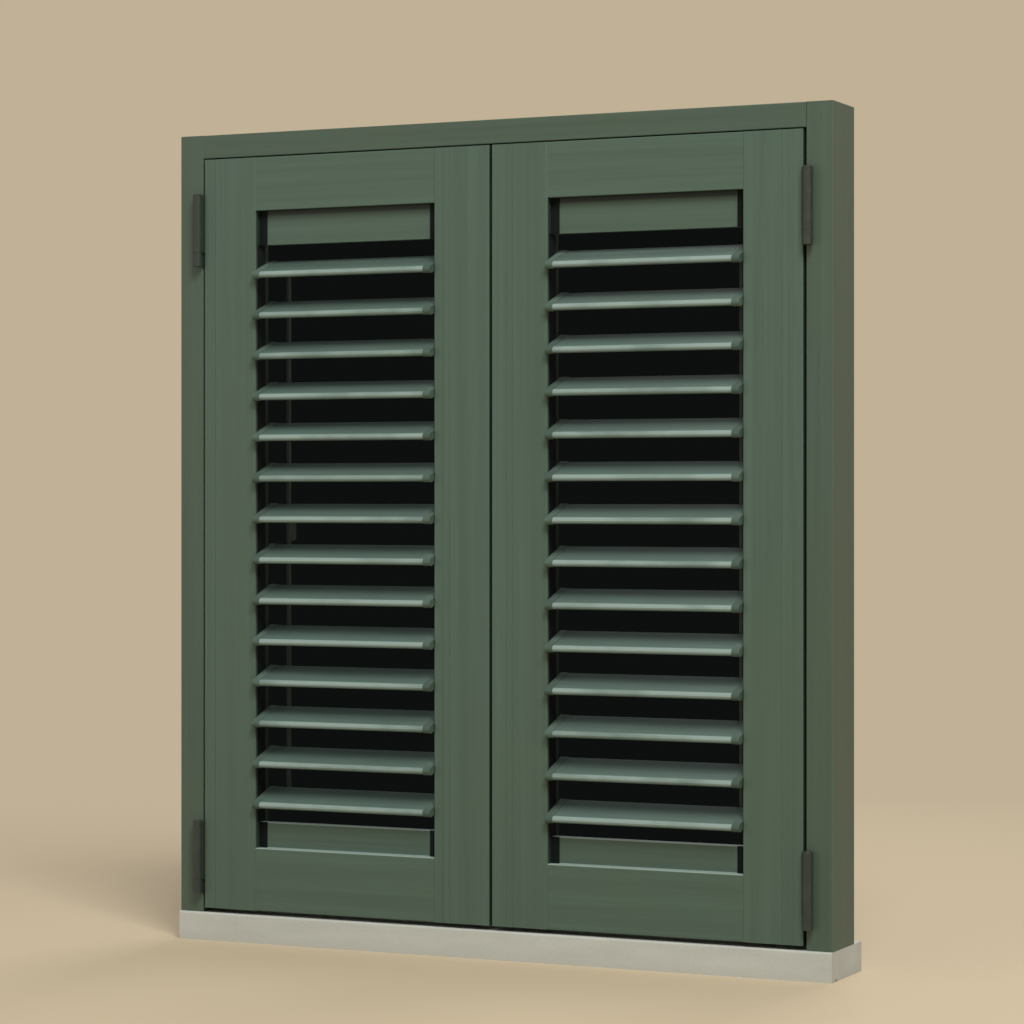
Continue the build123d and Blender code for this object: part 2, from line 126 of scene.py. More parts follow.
class Sock:
    """A value socket that takes part in Python expressions, each of which adds Math nodes."""

    def __init__(self, bench: NodeBench, socket: bpy.types.NodeSocket) -> None:
        """Keeps the bench that the nodes are added to, and the socket."""
        self.bench = bench
        self.socket = socket

    def _math(self, operation: str, *values: Sock | float) -> Sock:
        """Adds one Math node.

        Args:
            operation: The Math node's operation.
            values: Its inputs, as sockets or numbers.

        Returns:
            The node's result.
        """
        return self.bench.add("ShaderNodeMath", {"operation": operation}, dict(enumerate(values)))

    def __add__(self, other: Sock | float) -> Sock:
        """Sum."""
        return self._math("ADD", self, other)

    __radd__ = __add__

    def __sub__(self, other: Sock | float) -> Sock:
        """Difference."""
        return self._math("SUBTRACT", self, other)

    def __rsub__(self, other: float) -> Sock:
        """Difference from a number."""
        return self._math("SUBTRACT", other, self)

    def __mul__(self, other: Sock | float) -> Sock:
        """Product."""
        return self._math("MULTIPLY", self, other)

    __rmul__ = __mul__

    def __truediv__(self, other: Sock | float) -> Sock:
        """Quotient."""
        return self._math("DIVIDE", self, other)

    def clamp(self) -> Sock:
        """The value held between 0 and 1."""
        return self._math("MINIMUM", self._math("MAXIMUM", self, 0.0), 1.0)

    def wrap(self, low: float, high: float) -> Sock:
        """The value folded into a range that repeats."""
        return self._math("WRAP", self, high, low)

    def above(self, start: float, end: float) -> Sock:
        """A ramp from 0 at start to 1 at end, which may run downwards."""
        return ((self - start) / (end - start)).clamp()

    def within(self, band: Band) -> Sock:
        """1 inside a band and 0 outside it."""
        return self.above(band.start, band.full) * self.above(band.end, band.fade)


class NodeBench:
    """Lays out the shader nodes of one tree."""

    def __init__(self, tree: bpy.types.NodeTree) -> None:
        """Starts with an empty tree."""
        self.tree = tree
        self.tree.nodes.clear()

    def feed(self, target: bpy.types.NodeSocket, value: object) -> None:
        """Gives a socket a link or a fixed value.

        Args:
            target: The input.
            value: A Sock, a number or a tuple.
        """
        if isinstance(value, Sock):
            self.tree.links.new(value.socket, target)
        else:
            target.default_value = value

    def add(self, kind: str, settings: dict | None = None, inputs: dict | None = None,
            out: int | str = 0) -> Sock:
        """Adds any node.

        Args:
            kind: The node's type.
            settings: Attributes, set first.
            inputs: Values or links by socket name or number.
            out: The output to hand back.

        Returns:
            The chosen output.
        """
        node = self.tree.nodes.new(kind)
        for key, value in (settings or {}).items():
            setattr(node, key, value)
        for key, value in (inputs or {}).items():
            self.feed(node.inputs[key], value)
        return Sock(self, node.outputs[out])

    def outputs(self, kind: str, names: tuple[str, ...], inputs: dict | None = None) -> list[Sock]:
        """Adds a node of which several outputs are used.

        Args:
            kind: The node's type.
            names: The outputs' names.
            inputs: Values or links by socket name or number.

        Returns:
            The outputs, in the order of their names.
        """
        node = self.add(kind, None, inputs).socket.node
        return [Sock(self, node.outputs[name]) for name in names]

    def mix(self, factor: Sock | float, low: Sock, high: Sock) -> Sock:
        """A shader between two, by a factor."""
        return self.add("ShaderNodeMixShader", None, {0: factor, 1: low, 2: high})

    def background_rays(self) -> Sock:
        """1 for the rays that show the background: from the camera, off metal and through glass."""
        rays = self.outputs("ShaderNodeLightPath", ("Is Camera Ray", "Is Glossy Ray", "Is Transmission Ray"))
        return (rays[0] + rays[1] + rays[2]).clamp()


class Bench(NodeBench):
    """Lays out the nodes of one material."""

    def __init__(self, name: str) -> None:
        """Starts a material with an output and a Principled shader.

        Args:
            name: The material's name.
        """
        self.material = bpy.data.materials.new(name)
        self.material.use_nodes = True
        super().__init__(self.material.node_tree)
        self.output = self.tree.nodes.new("ShaderNodeOutputMaterial")
        self.shader = self.tree.nodes.new("ShaderNodeBsdfPrincipled")
        self.surface(Sock(self, self.shader.outputs["BSDF"]))

    def surface(self, shader: Sock) -> None:
        """Shows a shader on the surface."""
        self.feed(self.output.inputs["Surface"], shader)

    def place(self) -> Sock:
        """Object coordinates."""
        return self.add("ShaderNodeTexCoord", out="Object")

    def axes(self) -> list[Sock]:
        """Object coordinates as three values."""
        return self.outputs("ShaderNodeSeparateXYZ", ("X", "Y", "Z"), {0: self.place()})

    def noise(self, cells: Point, detail: float = 3.0, roughness: float = 0.55, shift: float = 0.0) -> Sock:
        """Noise on object coordinates.

        Args:
            cells: Cells per metre along each axis.
            detail: The noise's detail.
            roughness: The noise's roughness.
            shift: Moves the pattern, so that two of one scale differ.

        Returns:
            A value near 0.5.
        """
        mapped = self.add("ShaderNodeMapping", None,
                          {"Vector": self.place(), "Scale": cells, "Location": (shift, shift, shift)})
        return self.add("ShaderNodeTexNoise", {"noise_dimensions": "3D"},
                        {"Vector": mapped, "Scale": 1.0, "Detail": detail, "Roughness": roughness})

    def blend(self, factor: Sock | float, low: Sock | Colour, high: Sock | Colour) -> Sock:
        """A colour between two, by a factor.

        Args:
            factor: 0 for the first colour, 1 for the second.
            low: The first colour.
            high: The second colour.

        Returns:
            The mixed colour.
        """
        ends = [end if isinstance(end, Sock) else (*end, 1.0) for end in (low, high)]
        return self.add("ShaderNodeMix", {"data_type": "RGBA"}, {0: factor, 6: ends[0], 7: ends[1]}, 2)

    def finish(self, colour: Sock, roughness: Sock, height: Sock, depth: float) -> bpy.types.Material:
        """Feeds what varies over the surface to the shader.

        Args:
            colour: The base colour.
            roughness: The roughness.
            height: The relief, near 0 to 1.
            depth: The relief's depth.

        Returns:
            The material.
        """
        bump = self.add("ShaderNodeBump", None, {"Height": height, "Distance": depth, "Strength": 1.0})
        for name, value in (("Base Color", colour), ("Roughness", roughness), ("Normal", bump)):
            self.feed(self.shader.inputs[name], value)
        return self.material


class Finish(Protocol):
    """What every finish offers."""

    name: str

    def material(self) -> bpy.types.Material:
        """The finish's material, built anew."""


@dataclass(frozen=True)
class TimberPaint:
    """Green paint brushed on timber, satin, a little weathered, with painted highlights and painted shade at
    some edges.

    Attributes:
        name: The material's name.
        colour: The paint.
        grain: The way that the brush marks run.
        front: The member's front face along Y.
        back: The member's back face along Y.
        ledges: Heights of level edges that weather has rubbed pale, with a painted highlight along them.
        shaded_corners: Heights of corners with painted shadow below them.
        shaded_rebates: Whether painted shade darkens the edges between front and back, where leaf and frame
            nearly meet.
        rubbed_and_highlight: The pale colour of the ledges, partly rubbed paint and partly painted highlight.
        cells_along: Brush marks per metre along the grain.
        cells_across: Brush marks per metre across it.
        broad: How many times wider the broad bands are than the brush marks.
        streak: How far the marks' tone goes either way.
        roughness: The paint's middle roughness.
        specular: The paint's specular level.
        brush_depth: The depth of the brush marks.
        arris: Where the front arris is rubbed, from the front face inwards.
        lip: Where a ledge shows its pale rubbing and painted highlight, over its height.
        shade_and_dirt: Where painted shadow lies below a corner, over its height.
        rebate_front: Where the painted shade sets in, from the front face.
        rebate_back: Where it sets in, from the back face.
    """

    name: str
    colour: Colour
    grain: Grain
    front: float
    back: float
    ledges: tuple[float, ...] = ()
    shaded_corners: tuple[float, ...] = ()
    shaded_rebates: bool = False
    rubbed_and_highlight: Colour = RUBBED_HIGHLIGHT_GREEN
    cells_along: float = 2.2
    cells_across: float = 150.0
    broad: float = 4.0
    streak: float = 0.09
    roughness: float = 0.5
    specular: float = 0.35
    brush_depth: float = 0.0003
    arris: Band = Band(0.0001, 0.0003, 0.0007, 0.0012)
    lip: Band = Band(-0.0016, -0.0006, 0.0006, 0.0012)
    shade_and_dirt: Band = Band(-0.0095, -0.0055, 0.0, 0.0005)
    rebate_front: Ramp = (0.002, 0.006)
    rebate_back: Ramp = (0.0004, 0.0014)

    def material(self) -> bpy.types.Material:
        """Builds the finish.

        Returns:
            The material.
        """
        bench = Bench(self.name)
        along, across = self.cells_along, self.cells_across
        cells = (across, across, along) if self.grain is Grain.UPRIGHT else (along, across, across)
        brush = bench.noise(cells, 4.0, 0.6)
        band = bench.noise(tuple(cell / self.broad for cell in cells), 2.0, 0.5, 3.1)
        cloud = bench.noise((3.0, 3.0, 3.0), 2.0, 0.5, 7.7)
        dark = shade(self.colour, 1 - 2.2 * self.streak)
        light = shade(self.colour, 1 + 2.0 * self.streak)
        olive = tuple(channel * gain for channel, gain in zip(self.colour, (1.10, 1.02, 0.90)))
        tone = (0.55 * brush + 0.45 * band).above(0.25, 0.75)
        unshaded = bench.blend(0.4 * cloud.above(0.4, 0.65), bench.blend(tone, dark, light), olive)
        bench.shader.inputs["Specular IOR Level"].default_value = self.specular
        return bench.finish(self._weather(bench, unshaded), self.roughness - 0.12 + 0.24 * tone,
                            0.6 * brush + 0.4 * band, self.brush_depth)

    def _weather(self, bench: Bench, body: Sock) -> Sock:
        """Adds rubbed arrises and ledges, and painted light: a highlight on the ledges, a shadow under the
        top rail and shade on the edges where leaf and frame nearly meet.

        Args:
            bench: The material's bench.
            body: The paint's colour.

        Returns:
            The colour with its rubbing and painted light.
        """
        _, y, z = bench.axes()
        inward = y - self.front
        body = bench.blend(0.25 * inward.within(self.arris), body, shade(self.colour, 2.0))
        # Ledges rubbed pale, with a painted highlight where light catches their top arris.
        for ledge in self.ledges:
            body = bench.blend(0.5 * (z - ledge).within(self.lip), body, self.rubbed_and_highlight)
        # Painted shadow: the board darkens just below the top rail's lower edge.
        for shaded_corner in self.shaded_corners:
            body = bench.blend(0.88 * (z - shaded_corner).within(self.shade_and_dirt), body, shade(self.colour, 0.10))
        # Painted shade on the side faces behind the front, in the gaps and at the opening's sides.
        if self.shaded_rebates:
            rebate_shade = inward.above(*self.rebate_front) * (self.back - y).above(*self.rebate_back)
            body = bench.blend(0.75 * rebate_shade, body, shade(self.colour, 0.18))
        return body


@dataclass(frozen=True)
class SlatPaint:
    """Green paint on the slats, paler where weather has rubbed the noses, with painted light and shade across
    each slat.

    Attributes:
        name: The material's name.
        colour: The paint.
        rubbed_and_highlight: The pale paint of the nose, partly rubbed and partly painted highlight.
        pivot_y: The pivots' place along Y.
        pivot_z: The height of one pivot.
        pitch: The step from slat to slat.
        nose: Where the pale nose line shows, back from the nose.
        nose_height: Where it shows, over the middle of the section.
        unshaded: Where painted light brightens the slat, back from the nose.
        shade_and_dirt: Where dirt and painted shade darken the slat towards its back, back from the nose.
        underside: Where painted shade lies under it, over the middle of the section.
        lip: Where painted shade darkens the nose's lower half, back from the nose.
        lip_height: Where it is, over the middle of the section.
        specular: The paint's specular level.
        brush_depth: The depth of the brush marks.
    """

    name: str
    colour: Colour
    rubbed_and_highlight: Colour
    pivot_y: float
    pivot_z: float
    pitch: float
    nose: Ramp = (0.0068, 0.0048)
    nose_height: Ramp = (-0.0042, 0.0015)
    unshaded: Ramp = (0.027, 0.003)
    shade_and_dirt: Ramp = (0.011, SLAT_CHORD)
    underside: Ramp = (-0.001, -0.004)
    lip: Ramp = (0.0045, 0.003)
    lip_height: Ramp = (0.0016, 0.0004)
    specular: float = 0.15
    brush_depth: float = 0.0002

    def material(self) -> bpy.types.Material:
        """Builds the finish in each slat's own section, which repeats at the slats' pitch.

        Returns:
            The material.
        """
        bench = Bench(self.name)
        _, y, z = bench.axes()
        up = (z - self.pivot_z).wrap(-self.pitch / 2, self.pitch / 2)
        back = y - self.pivot_y
        from_nose = back * math.cos(SLAT_TILT) + up * math.sin(SLAT_TILT) + SLAT_CHORD / 2
        height = up * math.cos(SLAT_TILT) - back * math.sin(SLAT_TILT)
        brush = bench.noise((2.0, 160.0, 160.0), 4.0, 0.6)
        cloud = bench.noise((9.0, 40.0, 7.0), 3.0, 0.5, 2.3)
        tone = (0.6 * brush + 0.4 * cloud).above(0.28, 0.72)
        body = bench.blend(tone, shade(self.colour, 0.78), shade(self.colour, 1.16))
        # Painted light: the slat brightens towards its nose, out of the shade of the slat above.
        body = bench.blend(0.4 * from_nose.above(*self.unshaded), body, shade(self.colour, 1.6))
        # Dirt and painted shade towards the slat's back, and painted shade on its lower side.
        shade_and_dirt = (from_nose.above(*self.shade_and_dirt) + height.above(*self.underside)).clamp()
        body = bench.blend(0.4 * shade_and_dirt, body, shade(self.colour, 0.5))
        # Painted shade on the nose's lower half, which faces down.
        lip = from_nose.above(*self.lip) * height.above(*self.lip_height)
        body = bench.blend(0.3 * lip, body, shade(self.colour, 0.6))
        # The nose rubbed pale, with a painted highlight along its upper arris.
        nose_rub_and_highlight = from_nose.above(*self.nose) * height.above(*self.nose_height) * cloud.above(0.15, 0.55)
        body = bench.blend(0.42 * nose_rub_and_highlight, body, self.rubbed_and_highlight)
        bench.shader.inputs["Specular IOR Level"].default_value = self.specular
        return bench.finish(body, 0.5 + 0.2 * cloud, brush, self.brush_depth)


@dataclass(frozen=True)
class PaleStone:
    """Honed pale stone, with fine grain, faint clouds and dirt towards the lower edge.

    Attributes:
        name: The material's name.
        colour: The stone.
        foot: The height up to which dirt reaches.
    """

    name: str
    colour: Colour
    foot: float

    def material(self) -> bpy.types.Material:
        """Builds the finish.

        Returns:
            The material.
        """
        bench = Bench(self.name)
        _, _, z = bench.axes()
        speck = bench.noise((900.0, 900.0, 900.0), 2.0, 0.6)
        cloud = bench.noise((7.0, 30.0, 30.0), 4.0, 0.55, 1.7)
        pit = bench.noise((260.0, 260.0, 260.0), 3.0, 0.6, 5.2)
        tone = (0.5 * speck + 0.5 * cloud).above(0.3, 0.7)
        body = bench.blend(tone, shade(self.colour, 0.84), shade(self.colour, 1.12))
        dirt = z.above(self.foot, 0.0) * cloud.above(0.3, 0.7)
        body = bench.blend(0.35 * dirt, body, shade(self.colour, 0.6))
        return bench.finish(body, 0.66 + 0.2 * cloud, 0.5 * speck + 0.5 * pit, 0.0004)


@dataclass(frozen=True)
class Metal:
    """Painted or bare metal, with a handled look.

    Attributes:
        name: The material's name.
        colour: The metal or its paint.
        rubbed: The colour where hands have rubbed it.
        metallic: 0 for paint, 1 for bare metal.
        roughness: The middle roughness.
        rub: How strongly the rubbed places show.
    """

    name: str
    colour: Colour
    rubbed: Colour
    metallic: float
    roughness: float
    rub: float = 0.25

    def material(self) -> bpy.types.Material:
        """Builds the finish.

        Returns:
            The material.
        """
        bench = Bench(self.name)
        patch = bench.noise((60.0, 60.0, 60.0), 4.0, 0.6)
        fine = bench.noise((500.0, 500.0, 500.0), 2.0, 0.5, 4.4)
        body = bench.blend(self.rub * patch.above(0.52, 0.7), self.colour, self.rubbed)
        bench.shader.inputs["Metallic"].default_value = self.metallic
        return bench.finish(body, self.roughness - 0.1 + 0.2 * fine, fine, 0.0001)


@dataclass(frozen=True)
class Nylon:
    """Moulded nylon with some dust on it.

    Attributes:
        name: The material's name.
        colour: The nylon.
    """

    name: str
    colour: Colour

    def material(self) -> bpy.types.Material:
        """Builds the finish.

        Returns:
            The material.
        """
        bench = Bench(self.name)
        fine = bench.noise((700.0, 700.0, 700.0), 2.0, 0.5)
        dust = bench.noise((12.0, 12.0, 12.0), 3.0, 0.5, 6.0)
        body = bench.blend(0.4 * dust.above(0.45, 0.7), self.colour, shade(self.colour, 2.2))
        bench.shader.inputs["Specular IOR Level"].default_value = 0.08
        return bench.finish(body, 0.7 + 0.15 * fine, fine, 0.0001)


@dataclass
class Palette:
    """Every finish of the shutters, made once."""

    made: dict[str, bpy.types.Material] = field(default_factory=dict)

    def get(self, finish: Finish) -> bpy.types.Material:
        """Makes a finish at its first use.

        Args:
            finish: One of the finishes.

        Returns:
            Its material.
        """
        if finish.name not in self.made:
            self.made[finish.name] = finish.material()
        return self.made[finish.name]


SILL_STONE = PaleStone("sill_stone", (0.51, 0.53, 0.49), 0.0172)
HINGE_PAINT = Metal("hinge_paint", (0.020, 0.032, 0.025), (0.06, 0.085, 0.07), 0.0, 0.5)
BOLT_PAINT = Metal("bolt_paint", (0.030, 0.036, 0.032), (0.28, 0.27, 0.25), 0.3, 0.42)
ROD_METAL = Metal("rod_metal", (0.045, 0.062, 0.054), (0.12, 0.14, 0.13), 0.1, 0.6)
SCREW_METAL = Metal("screw_metal", (0.20, 0.20, 0.18), (0.45, 0.44, 0.40), 0.9, 0.4)
CAP_PLASTIC = Nylon("cap_plastic", (0.070, 0.105, 0.085))
# Near-black nylon of the carriers, also used for the strips that paint shade beside the boards.
CARRIER_NYLON_AND_SHADE = Nylon("carrier_nylon", (0.007, 0.010, 0.009))


class GeoBench:
    """Lays out one Geometry Nodes tree, with named inputs for its sizes."""

    def __init__(self, name: str, sizes: dict[str, float | int]) -> None:
        """Starts a tree that takes and gives geometry.

        Args:
            name: The tree's name.
            sizes: Its named inputs and their usual values.
        """
        self.tree = bpy.data.node_groups.new(name, "GeometryNodeTree")
        face = self.tree.interface
        face.new_socket("Geometry", in_out="INPUT", socket_type="NodeSocketGeometry")
        for label, value in sizes.items():
            kind = "NodeSocketInt" if isinstance(value, int) else "NodeSocketFloat"
            face.new_socket(label, in_out="INPUT", socket_type=kind).default_value = value
        face.new_socket("Geometry", in_out="OUTPUT", socket_type="NodeSocketGeometry")
        self.given = self.tree.nodes.new("NodeGroupInput").outputs

    def add(self, kind: str, settings: dict | None = None, inputs: dict | None = None,
            out: int = 0) -> bpy.types.NodeSocket:
        """Adds a node.

        Args:
            kind: The node's type.
            settings: Attributes, set first.
            inputs: Values or links by socket name or number.
            out: The output to hand back.

        Returns:
            The chosen output.
        """
        node = self.tree.nodes.new(kind)
        for key, value in (settings or {}).items():
            setattr(node, key, value)
        for key, value in (inputs or {}).items():
            if isinstance(value, bpy.types.NodeSocket):
                self.tree.links.new(value, node.inputs[key])
            else:
                node.inputs[key].default_value = value
        return node.outputs[out]

    def times(self, value: bpy.types.NodeSocket, gain: float) -> bpy.types.NodeSocket:
        """A value times a number."""
        return self.add("ShaderNodeMath", {"operation": "MULTIPLY"}, {0: value, 1: gain})

    def join(self, *parts: bpy.types.NodeSocket) -> bpy.types.NodeSocket:
        """Joins meshes into one.

        Args:
            parts: The meshes.

        Returns:
            The joined mesh.
        """
        node = self.tree.nodes.new("GeometryNodeJoinGeometry")
        for part in reversed(parts):
            self.tree.links.new(part, node.inputs[0])
        return node.outputs[0]

    def close(self, geometry: bpy.types.NodeSocket, material: bpy.types.Material) -> None:
        """Ends the tree: instances made real, with their material.

        Args:
            geometry: The tree's result.
            material: Its finish.
        """
        real = self.add("GeometryNodeRealizeInstances", None, {"Geometry": geometry})
        done = self.add("GeometryNodeSetMaterial", None, {"Geometry": real, "Material": material})
        self.tree.links.new(done, self.tree.nodes.new("NodeGroupOutput").inputs[0])

    def grow(self, name: str, seats: list[Point], sizes: dict[str, float],
             facings: list[Point] | None = None) -> bpy.types.Object:
        """Runs the tree on some points and keeps the result as a plain mesh.

        Args:
            name: The piece's name.
            seats: The points.
            sizes: Values for the tree's named inputs.
            facings: A direction for each point, where the tree asks for it.

        Returns:
            The piece.
        """
        points = bpy.data.meshes.new(name + "_points")
        points.from_pydata(seats, [], [])
        if facings:
            layer = points.attributes.new("facing", "FLOAT_VECTOR", "POINT")
            for value, facing in zip(layer.data, facings):
                value.vector = facing
        holder = bpy.data.objects.new(name + "_holder", points)
        bpy.context.scene.collection.objects.link(holder)
        modifier = holder.modifiers.new("grow", "NODES")
        modifier.node_group = self.tree
        for item in self.tree.interface.items_tree:
            if item.item_type == "SOCKET" and item.in_out == "INPUT" and item.name in sizes:
                modifier[item.identifier] = sizes[item.name]
        graph = bpy.context.evaluated_depsgraph_get()
        mesh = bpy.data.meshes.new_from_object(holder.evaluated_get(graph))
        holder.modifiers.remove(modifier)
        bpy.data.objects.remove(holder)
        piece = bpy.data.objects.new(name, mesh)
        bpy.context.scene.collection.objects.link(piece)
        log.info("%s: %d places, %d faces", name, len(seats), len(mesh.polygons))
        return piece


@dataclass(frozen=True)
class Fastener:
    """One screw: where its head sits and the way that it faces."""

    seat: Point
    facing: Point


@dataclass
class ScrewHeads:
    """Slotted screw heads: a low cone with a slot, turned at random on each point.

    Attributes:
        palette: The finishes.
        bench: The tree.
        diameter: The head's usual diameter.
        height: The head's height.
        slot: The slot's width.
        crown_share: The crown's radius over the head's diameter.
        sides: The flats round the head.
        seed: The seed of the slots' turns.
    """

    palette: Palette
    bench: GeoBench = field(init=False)
    diameter: float = 0.006
    height: float = 0.0008
    slot: float = 0.0009
    crown_share: float = 0.38
    sides: int = 20
    seed: int = 7

    def __post_init__(self) -> None:
        """Builds the tree once."""
        self.bench = GeoBench("screw_heads", {"Head Diameter": self.diameter, "Head Height": self.height,
                                              "Slot Width": self.slot, "Seed": self.seed})
        bench = self.bench
        given = bench.given
        wide, high = given["Head Diameter"], given["Head Height"]
        head = bench.add("GeometryNodeMeshCone", None,
                         {"Vertices": self.sides, "Radius Top": bench.times(wide, self.crown_share),
                          "Radius Bottom": bench.times(wide, 0.5), "Depth": high})
        slot = bench.add("ShaderNodeCombineXYZ", None, {"X": wide, "Y": given["Slot Width"], "Z": high})
        bar = bench.add("GeometryNodeMeshCube", None, {"Size": slot})
        lift = bench.add("ShaderNodeCombineXYZ", None, {"Z": high})
        raised = bench.add("GeometryNodeTransform", None, {"Geometry": bar, "Translation": lift})
        cut = bench.add("GeometryNodeMeshBoolean", {"operation": "DIFFERENCE"},
                        {"Mesh 1": head, "Mesh 2": raised})
        facing = bench.add("GeometryNodeInputNamedAttribute", {"data_type": "FLOAT_VECTOR"},
                           {"Name": "facing"})
        aim = bench.add("FunctionNodeAlignEulerToVector", {"axis": "Z"}, {"Vector": facing})
        turn = bench.add("FunctionNodeRandomValue", {"data_type": "FLOAT"},
                         {3: math.pi, "Seed": given["Seed"]}, 1)
        spin = bench.add("ShaderNodeCombineXYZ", None, {"Z": turn})
        placed = bench.add("GeometryNodeInstanceOnPoints", None,
                           {"Points": given["Geometry"], "Instance": cut, "Rotation": aim})
        turned = bench.add("GeometryNodeRotateInstances", None, {"Instances": placed, "Rotation": spin})
        bench.close(turned, self.palette.get(SCREW_METAL))

    def drive(self, name: str, body: str, fasteners: list[Fastener], diameter: float) -> None:
        """Sets the screws of one body.

        Args:
            name: The piece's name.
            body: The body that it rides on.
            fasteners: Where the screws are.
            diameter: The heads' diameter.
        """
        piece = self.bench.grow(name, [fastener.seat for fastener in fasteners], {"Head Diameter": diameter},
                                [fastener.facing for fastener in fasteners])
        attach(piece, body)


@dataclass
class EndCaps:
    """Moulded caps on the slats' ends, a little proud of the slat's section.

    Attributes:
        palette: The finishes.
        bench: The tree.
        length: How much of the slat a cap covers.
        proud: How far it stands over the slat's section.
        overhang: How far it stands past the slat's end.
        pin_reach: How far the slat's pins stand out of its ends.
        roundness: The corners' radius over the cap's thickness.
        corner_steps: The flats in each corner.
        weld: The distance within which the shell's edges are joined.
    """

    palette: Palette
    bench: GeoBench = field(init=False)
    length: float = 0.012
    proud: float = 0.0007
    overhang: float = 0.0003
    pin_reach: float = 0.0075
    roundness: float = 0.49
    corner_steps: int = 6
    weld: float = 0.00002

    def __post_init__(self) -> None:
        """Builds the tree once: a rounded section, filled, drawn out and turned to the slats' tilt."""
        self.bench = GeoBench("slat_end_caps", {"Chord": SLAT_CHORD + 2 * self.proud,
                                                "Thickness": SLAT_THICKNESS + 2 * self.proud,
                                                "Length": self.length, "Corner Steps": self.corner_steps})
        bench = self.bench
        given = bench.given
        outline = bench.add("GeometryNodeCurvePrimitiveQuadrilateral", None,
                            {"Width": given["Chord"], "Height": given["Thickness"]})
        radius = bench.times(given["Thickness"], self.roundness)
        rounded = bench.add("GeometryNodeFilletCurve", {"mode": "POLY"},
                            {"Curve": outline, "Count": given["Corner Steps"], "Radius": radius})
        disc = bench.add("GeometryNodeFillCurve", {"mode": "NGONS"}, {0: rounded})
        drawn = bench.add("GeometryNodeExtrudeMesh", {"mode": "FACES"},
                          {"Mesh": disc, "Offset Scale": given["Length"], "Individual": False})
        base = bench.add("GeometryNodeFlipFaces", None, {"Mesh": disc})
        shell = bench.add("GeometryNodeMergeByDistance", None,
                          {"Geometry": bench.join(drawn, base), "Distance": self.weld})
        cosine, sine = math.cos(SLAT_TILT), math.sin(SLAT_TILT)
        axes = Matrix(((0.0, 0.0, 1.0), (cosine, -sine, 0.0), (sine, cosine, 0.0)))
        turned = bench.add("GeometryNodeTransform", None, {"Geometry": shell, "Rotation": axes.to_euler()})
        placed = bench.add("GeometryNodeInstanceOnPoints", None,
                           {"Points": given["Geometry"], "Instance": turned})
        bench.close(placed, self.palette.get(CAP_PLASTIC))

    def fit(self, slat: str, pivot: Point) -> None:
        """Puts both caps on one slat.

        Args:
            slat: The slat's node and body.
            pivot: A point on the slat's axis.
        """
        low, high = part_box(slat)
        inset = self.pin_reach - self.overhang
        starts = (low.x + inset, high.x - inset - self.length)
        piece = self.bench.grow(f"caps_{slat}", [(x, pivot[1], pivot[2]) for x in starts], {})
        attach(piece, slat)


@dataclass
class BoardShadeStrips:
    """Near-black strips beside the boards' ends, given as the slat carriers' ends: painted shade for the dark
    recesses there.

    Attributes:
        palette: The finishes.
        bench: The tree.
        width: A strip's width.
        depth: Its depth, half of which is proud of the board's face.
    """

    palette: Palette
    bench: GeoBench = field(init=False)
    width: float = 0.0135
    depth: float = 0.002

    def __post_init__(self) -> None:
        """Builds the tree once: one bar on each point."""
        self.bench = GeoBench("board_margins", {"Width": self.width, "Depth": self.depth, "Height": 0.05})
        given = self.bench.given
        size = self.bench.add("ShaderNodeCombineXYZ", None,
                              {"X": given["Width"], "Y": given["Depth"], "Z": given["Height"]})
        bar = self.bench.add("GeometryNodeMeshCube", None, {"Size": size})
        placed = self.bench.add("GeometryNodeInstanceOnPoints", None,
                                {"Points": given["Geometry"], "Instance": bar})
        # The strips take the near-black nylon as painted shade.
        self.bench.close(placed, self.palette.get(CARRIER_NYLON_AND_SHADE))

    def fit(self, board: str, side: Side, left: float, right: float) -> None:
        """Puts a strip at each end of one board.

        Args:
            board: The board's node, without its side.
            side: The leaf.
            left: The opening's left edge.
            right: The opening's right edge.
        """
        low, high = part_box(f"{board}_{side.word}")
        middle = (low.z + high.z) / 2
        seats = [(x, low.y, middle) for x in (left + self.width / 2, right - self.width / 2)]
        piece = self.bench.grow(f"{board}_margins_{side.word}", seats, {"Height": high.z - low.z})
        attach(piece, f"leaf_{side.word}")


@dataclass
class FrameDress:
    """The jambs, the head, the sill and what is fixed to them.

    Attributes:
        palette: The finishes.
        screws: The maker of screw heads.
        keeper_head: The diameter of the keeper plates' screw heads.
        keeper_spread: How far each screw is from the plate's middle.
        keeper_inset: How far the screws are from the plate's back edge.
        plate: The thickness of a keeper plate.
    """

    palette: Palette
    screws: ScrewHeads
    keeper_head: float = 0.005
    keeper_spread: float = 0.009
    keeper_inset: float = 0.006
    plate: float = 0.002

    def dress(self, nodes: dict[str, bpy.types.Object]) -> None:
        """Gives every fixed member its finish.

        Args:
            nodes: The solids by name.
        """
        low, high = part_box("jamb_left")
        upright = TimberPaint("frame_paint_upright", FRAME_GREEN, Grain.UPRIGHT, low.y, high.y)
        level = TimberPaint("frame_paint_level", FRAME_GREEN, Grain.LEVEL, low.y, high.y)
        for side in Side:
            coat(nodes[f"jamb_{side.word}"], self.palette.get(upright))
            coat(nodes[f"hinge_pintles_{side.word}"], self.palette.get(HINGE_PAINT))
        coat(nodes["head"], self.palette.get(level))
        coat(nodes["sill"], self.palette.get(SILL_STONE))
        coat(nodes["bolt_keepers"], self.palette.get(BOLT_PAINT))
        self.screws.drive("keeper_screws", "frame", self._keeper_screws(), self.keeper_head)

    def _keeper_screws(self) -> list[Fastener]:
        """Two screws in each keeper plate, behind the bolt's hole.

        Returns:
            The screws.
        """
        low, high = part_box("bolt_keepers")
        y = high.y - self.keeper_inset
        middle = (low.x + high.x) / 2
        found = []
        for x in (middle - self.keeper_spread, middle + self.keeper_spread):
            found.append(Fastener((x, y, low.z + self.plate), (0, 0, 1)))
            found.append(Fastener((x, y, high.z - self.plate), (0, 0, -1)))
        return found


